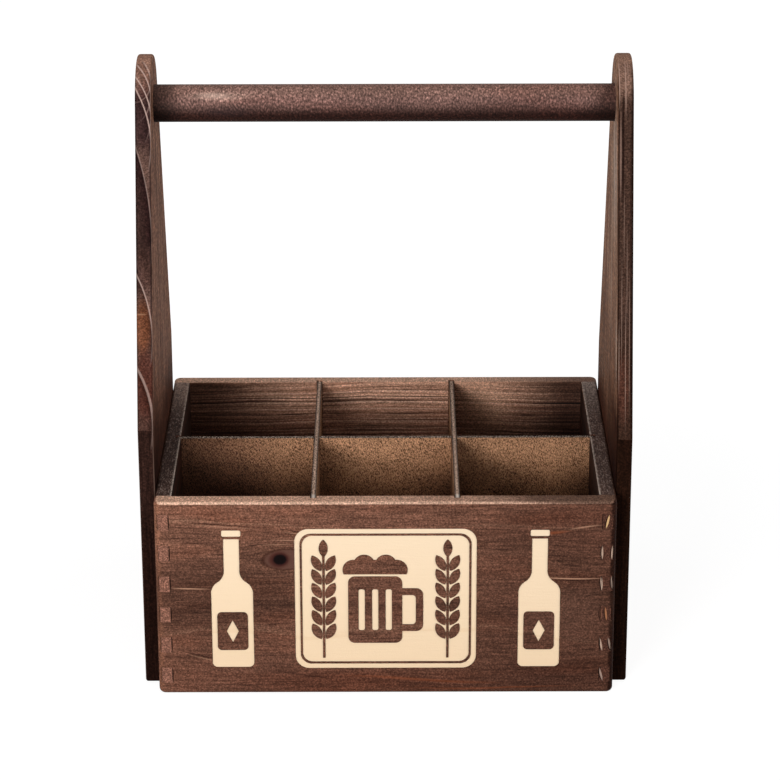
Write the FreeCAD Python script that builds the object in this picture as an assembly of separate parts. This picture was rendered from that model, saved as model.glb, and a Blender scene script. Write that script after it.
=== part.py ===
import FreeCAD, Part
import math
import os

from FreeCAD import Vector

# Bottle caddy: a box of tenoned boards with six cells, two tapered uprights and a round handle rod.
# Millimetres. X runs along the rod, Y from front to back, Z up, origin under the middle of the box.

# Cells and boards
CELL_COLUMNS = 3
CELL_ROWS = 2
CELL_WIDTH = 79.0
CELL_DEPTH = 87.0
WALL = 10.0
BOX_HEIGHT = 121.0
BASE_SHEET = 3.0
BASE_REBATE = 5.0
BASE_SLACK = 0.1
CORNER_EASE = 4.0
RIM_EASE = 2.0
FOOT_EASE = 3.0
INNER_ARRIS_EASE = 0.8

# Through tenons, centred in the end panels' thickness, in mortises of the front and back panels
TENONS = 6
TENON_LAND = 7.5
TENON_THICKNESS = 6.0
TENON_SLACK = 0.35

# Hardboard dividers and their grooves
DIVIDER_SHEET = 3.0
GROOVE_DEPTH = 3.5
GROOVE_SLACK = 0.4
LONG_END_SLACK = 1.5
CROSS_END_SLACK = 0.8
DIVIDER_DROP = 0.5
HALVING_SLACK = 0.3

# Uprights and handle rod
UPRIGHT_THICKNESS = 9.0
UPRIGHT_WIDTH = 163.0
LEFT_SHOULDER_HEIGHT = 158.0
RIGHT_SHOULDER_HEIGHT = 152.0
HANDLE_HEIGHT = 327.0
CROWN_RADIUS = 28.0
UPRIGHT_EASE = 1.5
DOWEL_DIAMETER = 21.5
SOCKET_DEPTH = 4.5
SOCKET_SLACK = 0.1
DOWEL_END_CHAMFER = 0.8

# Screws that hold the uprights, driven from inside the box
UPRIGHT_SCREW_LENGTH = 17.0
UPRIGHT_SCREW_SHANK = 3.5
UPRIGHT_SCREW_HEAD = 7.0
UPRIGHT_SCREW_SPREAD = 90.0
UPRIGHT_SCREW_LOW = 30.0
UPRIGHT_SCREW_HIGH = 92.0

# Screws through the crowns into the rod
HANDLE_SCREW_LENGTH = 40.0
HANDLE_SCREW_SHANK = 4.0
HANDLE_SCREW_HEAD = 8.0

# Common to all the screws
SCREW_TIP = 4.0
SCREW_HEAD_RIM = 0.4
RECESS_ARM = 0.9
RECESS_REACH = 0.6
RECESS_SINK = 1.5

# Brads under the base
NAIL_LENGTH = 16.0
NAIL_SHANK = 1.2
NAIL_HEAD = 2.4
NAIL_HEAD_HEIGHT = 0.5
NAIL_SET = 0.2

# Engraved front: a plaque with a mug between two ears of barley, and a bottle on each side
ENGRAVE_DEPTH = 0.5
PLAQUE_WIDTH = 104.0
PLAQUE_HEIGHT = 88.0
PLAQUE_CORNER = 8.0
FRAME_INSET = 3.0
FRAME_LINE = 1.2
MUG_WIDTH = 31.0
MUG_HEIGHT = 42.0
MUG_CORNER = 4.0
MUG_RIB_WIDTH = 3.6
MUG_RIB_HEIGHT = 26.0
MUG_RIBS = 3
HANDLE_LOOP_WIDTH = 12.0
HANDLE_LOOP_HEIGHT = 27.0
HANDLE_LOOP_BAND = 4.2
FOAM_RADIUS = 6.2
FOAM_BUBBLES = 5
FOAM_GAP = 1.4
FOAM_RISE = 2.8
FOAM_STAGGER = 3.2
EAR_OFFSET = 35.5
EAR_PAIRS = 6
GRAIN_LENGTH = 11.0
GRAIN_BULGE = 2.6
GRAIN_PITCH = 8.6
GRAIN_TILT = 28.0
STEM_WIDTH = 1.4
STEM_TAIL = 12.0
BOTTLE_GAP = 24.0
BOTTLE_WIDTH = 24.0
BOTTLE_BODY = 46.0
BOTTLE_SHOULDER = 16.0
BOTTLE_NECK_WIDTH = 9.0
BOTTLE_NECK = 19.0
BOTTLE_FOOT_CORNER = 3.0
CAP_WIDTH = 11.0
CAP_HEIGHT = 4.0
CAP_GAP = 1.4
LABEL_MARGIN = 3.2
LABEL_HEIGHT = 24.0
LABEL_CORNER = 2.5
LABEL_RISE = 11.0
LABEL_DIAMOND = 7.0

# Sizes that follow from the driving ones
INNER_WIDTH = CELL_COLUMNS * CELL_WIDTH + (CELL_COLUMNS - 1) * DIVIDER_SHEET
INNER_DEPTH = CELL_ROWS * CELL_DEPTH + (CELL_ROWS - 1) * DIVIDER_SHEET
HALF_INNER_WIDTH = INNER_WIDTH / 2
HALF_INNER_DEPTH = INNER_DEPTH / 2
HALF_WIDTH = HALF_INNER_WIDTH + WALL
HALF_DEPTH = HALF_INNER_DEPTH + WALL
TENON_WIDTH = (BOX_HEIGHT - 2 * TENON_LAND) / (2 * TENONS - 1)
TENON_INNER = HALF_INNER_WIDTH + (WALL - TENON_THICKNESS) / 2
TENON_OUTER = TENON_INNER + TENON_THICKNESS
COLUMN_PITCH = CELL_WIDTH + DIVIDER_SHEET
ROW_PITCH = CELL_DEPTH + DIVIDER_SHEET
CROSS_X = {"left": -COLUMN_PITCH / 2, "right": COLUMN_PITCH / 2}
DIVIDER_TOP = BOX_HEIGHT - DIVIDER_DROP
HALVING_HEIGHT = (BASE_SHEET + DIVIDER_TOP) / 2
HALVING_HALF_WIDTH = DIVIDER_SHEET / 2 + HALVING_SLACK
GROOVE_HALF_WIDTH = DIVIDER_SHEET / 2 + GROOVE_SLACK
SIDES = {"left": -1, "right": 1}
SHOULDER_HEIGHT = {"left": LEFT_SHOULDER_HEIGHT, "right": RIGHT_SHOULDER_HEIGHT}


def block(x_range, y_range, z_range):
    """Box between the given limits, whichever way round each pair is."""
    low = [min(pair) for pair in (x_range, y_range, z_range)]
    size = [abs(pair[1] - pair[0]) for pair in (x_range, y_range, z_range)]
    return Part.makeBox(*size, Vector(*low))


def joined(shapes):
    """One shape from a list of shapes."""
    first, *rest = shapes
    return first.fuse(rest) if rest else first


def edges_where(shape, test):
    """Edges whose every end passes the test."""
    return [edge for edge in shape.Edges if all(test(vertex.Point) for vertex in edge.Vertexes)]


def close(first, second):
    """Whether two lengths are equal within modelling tolerance."""
    return abs(first - second) < 1e-5


# Box carcass

def carcass_shell():
    """Outline of the glued-up box, with its corners and arrises eased."""
    outer = block((-HALF_WIDTH, HALF_WIDTH), (-HALF_DEPTH, HALF_DEPTH), (0, BOX_HEIGHT))
    uprights = [edge for edge in outer.Edges if close(edge.Length, BOX_HEIGHT) and edge.tangentAt(0).z != 0]
    outer = outer.makeFillet(CORNER_EASE, uprights)
    outer = outer.makeFillet(RIM_EASE, edges_where(outer, lambda point: close(point.z, BOX_HEIGHT)))
    outer = outer.makeFillet(FOOT_EASE, edges_where(outer, lambda point: close(point.z, 0)))
    cavity = block(
        (-HALF_INNER_WIDTH, HALF_INNER_WIDTH),
        (-HALF_INNER_DEPTH, HALF_INNER_DEPTH),
        (-WALL, BOX_HEIGHT + WALL),
    )
    shell = outer.cut(cavity)
    mouth = edges_where(
        shell,
        lambda point: close(point.z, BOX_HEIGHT)
        and close(abs(point.x), HALF_INNER_WIDTH)
        and close(abs(point.y), HALF_INNER_DEPTH),
    )
    return shell.makeFillet(INNER_ARRIS_EASE, mouth)


def tenon_bands():
    """Heights of the tenons, evenly spaced between the lands at the top and bottom."""
    pitch = 2 * TENON_WIDTH
    return [(TENON_LAND + i * pitch, TENON_LAND + i * pitch + TENON_WIDTH) for i in range(TENONS)]


def base_pocket():
    """Rebate under the walls that the base lies in."""
    reach = BASE_REBATE + BASE_SLACK
    return block(
        (-HALF_INNER_WIDTH - reach, HALF_INNER_WIDTH + reach),
        (-HALF_INNER_DEPTH - reach, HALF_INNER_DEPTH + reach),
        (0, BASE_SHEET),
    )


def long_wall(shell, facing):
    """Front (facing -1) or back (facing 1) panel before its fasteners and engraving."""
    y_range = (facing * HALF_INNER_DEPTH, facing * HALF_DEPTH)
    board = block((-HALF_WIDTH, HALF_WIDTH), y_range, (0, BOX_HEIGHT))
    mortise = (TENON_INNER - TENON_SLACK, TENON_OUTER + TENON_SLACK)
    cuts = [base_pocket()]
    for side in SIDES.values():
        for band in tenon_bands():
            cuts.append(block((side * mortise[0], side * mortise[1]), y_range, band))
    groove_floor = facing * (HALF_INNER_DEPTH + GROOVE_DEPTH)
    for x in CROSS_X.values():
        cuts.append(
            block(
                (x - GROOVE_HALF_WIDTH, x + GROOVE_HALF_WIDTH),
                (facing * HALF_INNER_DEPTH, groove_floor),
                (BASE_SHEET, BOX_HEIGHT),
            )
        )
    return board.common(shell).cut(cuts)


def end_wall(shell, side):
    """Left or right end panel before its fasteners."""
    inner_face = side * HALF_INNER_WIDTH
    board = block((inner_face, side * HALF_WIDTH), (-HALF_INNER_DEPTH, HALF_INNER_DEPTH), (0, BOX_HEIGHT))
    tenon_x = (side * TENON_INNER, side * TENON_OUTER)
    tenons = [
        block(tenon_x, (facing * HALF_INNER_DEPTH, facing * HALF_DEPTH), band)
        for facing in (-1, 1)
        for band in tenon_bands()
    ]
    groove = block(
        (inner_face, side * (HALF_INNER_WIDTH + GROOVE_DEPTH)),
        (-GROOVE_HALF_WIDTH, GROOVE_HALF_WIDTH),
        (BASE_SHEET, BOX_HEIGHT),
    )
    return board.fuse(tenons).removeSplitter().common(shell).cut([base_pocket(), groove])


def base_board():
    """Floor sheet in the rebate, flush with the walls' lower edges."""
    half_width = HALF_INNER_WIDTH + BASE_REBATE
    half_depth = HALF_INNER_DEPTH + BASE_REBATE
    return block((-half_width, half_width), (-half_depth, half_depth), (0, BASE_SHEET))


# Dividers

def long_divider():
    """Sheet along the box, slotted from above for the cross dividers."""
    half_length = HALF_INNER_WIDTH + GROOVE_DEPTH - LONG_END_SLACK
    sheet = block(
        (-half_length, half_length), (-DIVIDER_SHEET / 2, DIVIDER_SHEET / 2), (BASE_SHEET, DIVIDER_TOP)
    )
    slots = [
        block(
            (x - HALVING_HALF_WIDTH, x + HALVING_HALF_WIDTH),
            (-DIVIDER_SHEET, DIVIDER_SHEET),
            (HALVING_HEIGHT - HALVING_SLACK, DIVIDER_TOP),
        )
        for x in CROSS_X.values()
    ]
    return sheet.cut(slots)


def cross_divider(x):
    """Sheet across the box, slotted from below over the long divider."""
    half_length = HALF_INNER_DEPTH + GROOVE_DEPTH - CROSS_END_SLACK
    x_range = (x - DIVIDER_SHEET / 2, x + DIVIDER_SHEET / 2)
    sheet = block(x_range, (-half_length, half_length), (BASE_SHEET, DIVIDER_TOP))
    slot_y = (-HALVING_HALF_WIDTH, HALVING_HALF_WIDTH)
    slot = block(x_range, slot_y, (BASE_SHEET, HALVING_HEIGHT + HALVING_SLACK))
    return sheet.cut(slot)


# Uprights and handle

def upright_outline(shoulder_height):
    """Closed wire in the YZ plane: straight below the shoulders, tapering to a round crown."""
    half_width = UPRIGHT_WIDTH / 2
    rise = HANDLE_HEIGHT - shoulder_height
    reach = math.hypot(half_width, rise)
    angle = math.atan2(half_width, -rise) - math.acos(CROWN_RADIUS / reach)
    touch_y = CROWN_RADIUS * math.sin(angle)
    touch_z = HANDLE_HEIGHT + CROWN_RADIUS * math.cos(angle)
    foot = [Vector(0, y, 0) for y in (-half_width, half_width)]
    shoulder = [Vector(0, y, shoulder_height) for y in (-half_width, half_width)]
    touch = [Vector(0, y, touch_z) for y in (-touch_y, touch_y)]
    crown = Vector(0, 0, HANDLE_HEIGHT + CROWN_RADIUS)
    return Part.Wire(
        [
            Part.LineSegment(foot[0], shoulder[0]).toShape(),
            Part.LineSegment(shoulder[0], touch[0]).toShape(),
            Part.Arc(touch[0], crown, touch[1]).toShape(),
            Part.LineSegment(touch[1], shoulder[1]).toShape(),
            Part.LineSegment(shoulder[1], foot[1]).toShape(),
            Part.LineSegment(foot[1], foot[0]).toShape(),
        ]
    )


def upright_board(name):
    """Upright against the end panel's outer face, with the rod's blind socket."""
    side = SIDES[name]
    face = Part.Face(upright_outline(SHOULDER_HEIGHT[name]))
    board = face.extrude(Vector(side * UPRIGHT_THICKNESS, 0, 0))
    outlines = [edge for edge in board.Edges if close(edge.BoundBox.XLength, 0)]
    board = board.makeFillet(UPRIGHT_EASE, outlines)
    board.translate(Vector(side * HALF_WIDTH, 0, 0))
    socket = Part.makeCylinder(
        DOWEL_DIAMETER / 2 + SOCKET_SLACK,
        SOCKET_DEPTH,
        Vector(side * HALF_WIDTH, 0, HANDLE_HEIGHT),
        Vector(side, 0, 0),
    )
    return board.cut(socket)


def handle_rod():
    """Round rod whose ends seat in the uprights' sockets."""
    half_length = HALF_WIDTH + SOCKET_DEPTH
    rod = Part.makeCylinder(
        DOWEL_DIAMETER / 2, 2 * half_length, Vector(-half_length, 0, HANDLE_HEIGHT), Vector(1, 0, 0)
    )
    ends = [edge for edge in rod.Edges if close(edge.BoundBox.XLength, 0)]
    return rod.makeChamfer(DOWEL_END_CHAMFER, ends)


# Fasteners

def wood_screw(length, shank, head, place, direction):
    """Countersunk screw, its head flush at place: the solid that it fills, and the screw with its recess."""
    head_depth = SCREW_HEAD_RIM + (head - shank) / 2
    profile = [
        (0, 0),
        (head / 2, 0),
        (head / 2, SCREW_HEAD_RIM),
        (shank / 2, head_depth),
        (shank / 2, length - SCREW_TIP),
        (0, length),
        (0, 0),
    ]
    outline = Part.makePolygon([Vector(radius, 0, depth) for radius, depth in profile])
    filled = Part.Face(outline).revolve(Vector(0, 0, 0), Vector(0, 0, 1), 360)
    reach = head * RECESS_REACH / 2
    arms = [
        block((-reach, reach), (-RECESS_ARM / 2, RECESS_ARM / 2), (0, RECESS_SINK)),
        block((-RECESS_ARM / 2, RECESS_ARM / 2), (-reach, reach), (0, RECESS_SINK)),
    ]
    screw = filled.cut(joined(arms))
    turn = FreeCAD.Rotation(Vector(0, 0, 1), direction)
    placement = FreeCAD.Placement(place, turn)
    filled.Placement = placement
    screw.Placement = placement
    return filled, screw


def upright_screws(side):
    """The four screws from the box into one upright."""
    return [
        wood_screw(
            UPRIGHT_SCREW_LENGTH,
            UPRIGHT_SCREW_SHANK,
            UPRIGHT_SCREW_HEAD,
            Vector(side * HALF_INNER_WIDTH, y, z),
            Vector(side, 0, 0),
        )
        for y in (-UPRIGHT_SCREW_SPREAD / 2, UPRIGHT_SCREW_SPREAD / 2)
        for z in (UPRIGHT_SCREW_LOW, UPRIGHT_SCREW_HIGH)
    ]


def handle_screw(side):
    """The screw through one crown into the rod's end."""
    return wood_screw(
        HANDLE_SCREW_LENGTH,
        HANDLE_SCREW_SHANK,
        HANDLE_SCREW_HEAD,
        Vector(side * (HALF_WIDTH + UPRIGHT_THICKNESS), 0, HANDLE_HEIGHT),
        Vector(-side, 0, 0),
    )


def brad(x, y):
    """Flat-headed brad driven up through the base, its head set a little below the surface."""
    head = Part.makeCylinder(NAIL_HEAD / 2, NAIL_HEAD_HEIGHT, Vector(x, y, NAIL_SET))
    shank = Part.makeCylinder(NAIL_SHANK / 2, NAIL_LENGTH, Vector(x, y, NAIL_SET))
    return head.fuse(shank).removeSplitter()


def brad_holes():
    """Narrow holes above the base's underside that let the brad heads lie below it."""
    return [Part.makeCylinder(NAIL_HEAD / 2, NAIL_SET, Vector(x, y, 0)) for x, y in brad_places()]


def brad_places():
    """Brad positions, midway along the cells and centred on the rebate's ledge."""
    along_x = [(column - (CELL_COLUMNS - 1) / 2) * COLUMN_PITCH for column in range(CELL_COLUMNS)]
    along_y = [(row - (CELL_ROWS - 1) / 2) * ROW_PITCH for row in range(CELL_ROWS)]
    ledge_x = HALF_INNER_WIDTH + BASE_REBATE / 2
    ledge_y = HALF_INNER_DEPTH + BASE_REBATE / 2
    long_sides = [(x, sign * ledge_y) for x in along_x for sign in (-1, 1)]
    short_sides = [(sign * ledge_x, y) for y in along_y for sign in (-1, 1)]
    return long_sides + short_sides


# Engraving, drawn on the XZ plane and sunk along +Y

def sunk(wire):
    """Solid pocket from a closed wire on the front face."""
    return Part.Face(wire).extrude(Vector(0, ENGRAVE_DEPTH, 0))


def spot(x, z):
    """Point on the front face."""
    return Vector(x, -HALF_DEPTH, z)


def path(points):
    """Closed wire through points that each come with the middle of the arc that reaches them, or None."""
    pieces = []
    for (start, _), (end, bulge) in zip(points, points[1:] + points[:1]):
        if bulge is None:
            pieces.append(Part.LineSegment(spot(*start), spot(*end)).toShape())
        else:
            pieces.append(Part.Arc(spot(*start), spot(*bulge), spot(*end)).toShape())
    return Part.Wire(pieces)


def rounded_plate(centre_x, low_z, width, height, corner):
    """Pocket of a rectangle with round corners."""
    left, right = centre_x - width / 2, centre_x + width / 2
    top = low_z + height
    inner = corner * (1 - math.sqrt(0.5))
    points = [
        ((left + corner, low_z), None),
        ((right - corner, low_z), None),
        ((right, low_z + corner), (right - inner, low_z + inner)),
        ((right, top - corner), None),
        ((right - corner, top), (right - inner, top - inner)),
        ((left + corner, top), None),
        ((left, top - corner), (left + inner, top - inner)),
        ((left, low_z + corner), None),
    ]
    points[0] = (points[0][0], (left + inner, low_z + inner))
    return sunk(path(points))


def disc(x, z, radius):
    """Round pocket."""
    return sunk(Part.Wire(Part.Circle(spot(x, z), Vector(0, 1, 0), radius).toShape()))


def grain(x, z, tilt):
    """Pointed grain of barley that starts at (x, z) and leans by tilt degrees from upright."""
    turn = math.radians(tilt)
    along = (math.sin(turn), math.cos(turn))
    across = (along[1], -along[0])
    tip = (x + GRAIN_LENGTH * along[0], z + GRAIN_LENGTH * along[1])
    middle = (x + GRAIN_LENGTH * along[0] / 2, z + GRAIN_LENGTH * along[1] / 2)
    bulges = [
        (middle[0] + sign * GRAIN_BULGE * across[0], middle[1] + sign * GRAIN_BULGE * across[1])
        for sign in (1, -1)
    ]
    return sunk(path([((x, z), bulges[1]), (tip, bulges[0])]))


def barley_ear(x, low_z):
    """Ear of barley: a straight stem with paired grains and one at its tip."""
    first = low_z + STEM_TAIL
    grains = []
    for pair in range(EAR_PAIRS):
        z = first + pair * GRAIN_PITCH
        for lean in (-1, 1):
            grains.append(grain(x + lean * STEM_WIDTH, z, lean * GRAIN_TILT))
    tip = first + EAR_PAIRS * GRAIN_PITCH
    grains.append(grain(x, tip, 0))
    stem = block(
        (x - STEM_WIDTH / 2, x + STEM_WIDTH / 2),
        (-HALF_DEPTH, -HALF_DEPTH + ENGRAVE_DEPTH),
        (low_z, tip + GRAIN_LENGTH / 2),
    )
    return joined(grains + [stem])


def mug(low_z):
    """Mug with ribs, a handle loop and a head of foam, centred with its loop on the front."""
    centre_x = -HANDLE_LOOP_WIDTH / 2
    body = rounded_plate(centre_x, low_z, MUG_WIDTH, MUG_HEIGHT, MUG_CORNER)
    rib_pitch = MUG_WIDTH / (MUG_RIBS + 1)
    rib_low = low_z + (MUG_HEIGHT - MUG_RIB_HEIGHT) / 2
    rib_xs = [centre_x + (i - (MUG_RIBS - 1) / 2) * rib_pitch for i in range(MUG_RIBS)]
    ribs = [rounded_plate(x, rib_low, MUG_RIB_WIDTH, MUG_RIB_HEIGHT, MUG_RIB_WIDTH / 3) for x in rib_xs]
    loop_low = low_z + (MUG_HEIGHT - HANDLE_LOOP_HEIGHT) / 2
    loop_span = 2 * HANDLE_LOOP_WIDTH
    loop_x = centre_x + MUG_WIDTH / 2
    loop = rounded_plate(loop_x, loop_low, loop_span, HANDLE_LOOP_HEIGHT, MUG_CORNER)
    hollow = rounded_plate(
        loop_x,
        loop_low + HANDLE_LOOP_BAND,
        loop_span - 2 * HANDLE_LOOP_BAND,
        HANDLE_LOOP_HEIGHT - 2 * HANDLE_LOOP_BAND,
        MUG_CORNER / 2,
    )
    foam_low = low_z + MUG_HEIGHT + FOAM_GAP
    spread = MUG_WIDTH - FOAM_RADIUS
    bubbles = [
        disc(
            centre_x + (i / (FOAM_BUBBLES - 1) - 0.5) * spread,
            foam_low + FOAM_RISE + FOAM_STAGGER * (i % 2),
            FOAM_RADIUS,
        )
        for i in range(FOAM_BUBBLES)
    ]
    below = block(
        (-PLAQUE_WIDTH, PLAQUE_WIDTH),
        (-HALF_DEPTH - ENGRAVE_DEPTH, -HALF_DEPTH + 2 * ENGRAVE_DEPTH),
        (low_z, foam_low),
    )
    foam = joined(bubbles).cut(below)
    return joined([loop.cut(hollow), body]).cut(joined(ribs)).fuse(foam)


def plaque(low_z):
    """Plaque pocket with a frame line, a mug and two ears left standing in it."""
    field = rounded_plate(0, low_z, PLAQUE_WIDTH, PLAQUE_HEIGHT, PLAQUE_CORNER)
    outer, inner = (
        rounded_plate(
            0, low_z + inset, PLAQUE_WIDTH - 2 * inset, PLAQUE_HEIGHT - 2 * inset, PLAQUE_CORNER - inset / 2
        )
        for inset in (FRAME_INSET, FRAME_INSET + FRAME_LINE)
    )
    foam_height = FOAM_GAP + FOAM_RISE + FOAM_STAGGER + FOAM_RADIUS
    ear_height = STEM_TAIL + EAR_PAIRS * GRAIN_PITCH + GRAIN_LENGTH
    mug_low = low_z + (PLAQUE_HEIGHT - MUG_HEIGHT - foam_height) / 2
    ear_low = low_z + (PLAQUE_HEIGHT - ear_height) / 2
    figures = [outer.cut(inner), mug(mug_low)]
    figures += [barley_ear(side * EAR_OFFSET, ear_low) for side in SIDES.values()]
    return field.cut(figures)


def bottle(x, low_z):
    """Bottle pocket with a cap above it and a label left standing in it."""
    body, neck = BOTTLE_WIDTH / 2, BOTTLE_NECK_WIDTH / 2
    body_top = low_z + BOTTLE_BODY
    neck_low = body_top + BOTTLE_SHOULDER
    neck_top = neck_low + BOTTLE_NECK
    waist = ((body + neck) / 2, (body_top + neck_low) / 2)
    bend = (body - neck) / 8
    foot = BOTTLE_FOOT_CORNER
    foot_inner = foot * (1 - math.sqrt(0.5))
    upper = (body - bend, body_top + BOTTLE_SHOULDER / 4 + bend)
    lower = (neck + bend, neck_low - BOTTLE_SHOULDER / 4 - bend)
    right = [
        ((x + body - foot, low_z), None),
        ((x + body, low_z + foot), (x + body - foot_inner, low_z + foot_inner)),
        ((x + body, body_top), None),
        ((x + waist[0], waist[1]), (x + upper[0], upper[1])),
        ((x + neck, neck_low), (x + lower[0], lower[1])),
        ((x + neck, neck_top), None),
    ]
    left = [
        ((x - neck, neck_top), None),
        ((x - neck, neck_low), None),
        ((x - waist[0], waist[1]), (x - lower[0], lower[1])),
        ((x - body, body_top), (x - upper[0], upper[1])),
        ((x - body, low_z + foot), None),
        ((x - body + foot, low_z), (x - body + foot_inner, low_z + foot_inner)),
    ]
    outline = sunk(path(right + left))
    cap = rounded_plate(x, neck_top + CAP_GAP, CAP_WIDTH, CAP_HEIGHT, CAP_HEIGHT / 4)
    label_low = low_z + LABEL_RISE
    label = rounded_plate(x, label_low, BOTTLE_WIDTH - 2 * LABEL_MARGIN, LABEL_HEIGHT, LABEL_CORNER)
    centre_z = label_low + LABEL_HEIGHT / 2
    diamond = sunk(
        path(
            [
                ((x, centre_z - LABEL_DIAMOND), None),
                ((x + LABEL_DIAMOND / 2, centre_z), None),
                ((x, centre_z + LABEL_DIAMOND), None),
                ((x - LABEL_DIAMOND / 2, centre_z), None),
            ]
        )
    )
    return outline.cut(label).fuse([diamond, cap])


def engraving():
    """Every pocket of the engraved front."""
    bottle_height = BOTTLE_BODY + BOTTLE_SHOULDER + BOTTLE_NECK + CAP_GAP + CAP_HEIGHT
    bottle_low = (BOX_HEIGHT - bottle_height) / 2
    bottle_x = PLAQUE_WIDTH / 2 + BOTTLE_GAP + BOTTLE_WIDTH / 2
    pockets = [plaque((BOX_HEIGHT - PLAQUE_HEIGHT) / 2)]
    pockets += [bottle(side * bottle_x, bottle_low) for side in SIDES.values()]
    return pockets


# Assembly

def build():
    """Every node of the caddy, by name."""
    shell = carcass_shell()
    brads = [brad(x, y) for x, y in brad_places()]
    nodes = {
        "front_panel": long_wall(shell, -1).cut(brads + engraving()),
        "back_panel": long_wall(shell, 1).cut(brads),
        "base_panel": base_board().cut(brads + brad_holes()),
        "base_nails": Part.makeCompound(brads),
        "long_divider": long_divider(),
    }
    rod = handle_rod()
    for name, side in SIDES.items():
        fillings, screws = zip(*upright_screws(side))
        crown_filling, crown_screw = handle_screw(side)
        nodes[f"{name}_end_panel"] = end_wall(shell, side).cut(list(fillings) + brads)
        nodes[f"{name}_upright"] = upright_board(name).cut(list(fillings) + [crown_filling])
        nodes[f"{name}_upright_screws"] = Part.makeCompound(list(screws))
        nodes[f"{name}_handle_screw"] = crown_screw
        nodes[f"{name}_cross_divider"] = cross_divider(CROSS_X[name])
        rod = rod.cut(crown_filling)
    nodes["handle_dowel"] = rod
    return nodes


def main():
    os.makedirs("parts", exist_ok=True)
    for name, shape in build().items():
        size = shape.BoundBox
        print(
            f"{name}: {len(shape.Solids)} solids, valid {shape.isValid()}, volume {shape.Volume:.1f},",
            f"{size.XLength:.1f} x {size.YLength:.1f} x {size.ZLength:.1f} from z {size.ZMin:.2f}",
        )
        shape.exportStep(os.path.join("parts", f"{name}.step"))


main()
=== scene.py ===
import logging
import math
from dataclasses import dataclass, replace
from enum import Enum

import bmesh
import bpy
from mathutils import Matrix, Vector


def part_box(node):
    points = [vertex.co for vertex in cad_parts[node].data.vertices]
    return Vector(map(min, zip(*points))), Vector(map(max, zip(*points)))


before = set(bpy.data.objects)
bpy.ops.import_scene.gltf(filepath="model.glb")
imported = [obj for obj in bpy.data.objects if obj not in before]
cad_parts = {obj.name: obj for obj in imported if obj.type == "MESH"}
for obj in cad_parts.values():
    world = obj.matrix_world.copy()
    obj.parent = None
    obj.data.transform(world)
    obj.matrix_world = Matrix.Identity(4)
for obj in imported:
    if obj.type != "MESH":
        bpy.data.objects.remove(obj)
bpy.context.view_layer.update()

# Bottle caddy of stained pine with a hardboard divider grid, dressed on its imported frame.
# Lengths are in millimetres in the part's own axes, and turned to metres where a mesh or a light is made.
# A shade that is laid into another one multiplies it, channel by channel.

MM = 0.001
LOG = logging.getLogger("bottle_caddy")

Socket = bpy.types.NodeSocket
Value = Socket | float | tuple[float, ...]
Pair = tuple[float, float]
Triple = tuple[float, float, float]
Colour = tuple[float, float, float, float]

SMOOTH: dict[str, object] = {"interpolation_type": "SMOOTHSTEP"}
TO_FRONT: Triple = (0.0, -1.0, 0.0)
TO_BACK: Triple = (0.0, 1.0, 0.0)
UP: Triple = (0.0, 0.0, 1.0)
DOWN: Triple = (0.0, 0.0, -1.0)

# Cosines at which the colour of a rim begins and is full, so that it ends on the rounded arrises.
RIM: Pair = (0.8, 0.97)

# Cosines at which the front, as it is seen, begins and is full.
FRONT: Pair = (0.2, 0.45)

# Range in which most values of a noise texture lie.
NOISE: Pair = (0.25, 0.75)


def linear(shade: str) -> Colour:
    """Turns an sRGB hex value to a linear colour.

    Args:
        shade: six hex digits after a hash sign.

    Returns:
        Red, green, blue and an alpha of 1.
    """
    channels = [int(shade[i : i + 2], 16) / 255 for i in (1, 3, 5)]
    red, green, blue = (c / 12.92 if c <= 0.04045 else ((c + 0.055) / 1.055) ** 2.4 for c in channels)
    return red, green, blue, 1.0


def box_mm(node: str) -> tuple[Vector, Vector]:
    """Lowest and highest corner of a node at rest, in millimetres."""
    low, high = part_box(node)
    return low / MM, high / MM


class Cut(Enum):
    """How a board is cut: the axes along its grain, across its face and through its thickness."""

    LONG_WALL = (0, 2, 1)
    END_WALL = (1, 2, 0)
    UPRIGHT = (2, 1, 0)
    FLOOR = (0, 1, 2)


class Plane(Enum):
    """What a patch is laid out on: the wandering grain of its board, or the caddy's front as it is seen."""

    GRAIN = "grain"
    FRONT = "front"


class Axis(Enum):
    """The part's own axes: to the right, to the back and up."""

    X = 0
    Y = 1
    Z = 2


class Lay(Enum):
    """How a patch or a tint lies on the colour under it, as settings of the node that mixes the two."""

    OVER = {"out": 2, "data_type": "RGBA", "blend_type": "MIX"}
    INTO = {"out": 2, "data_type": "RGBA", "blend_type": "MULTIPLY"}


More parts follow.
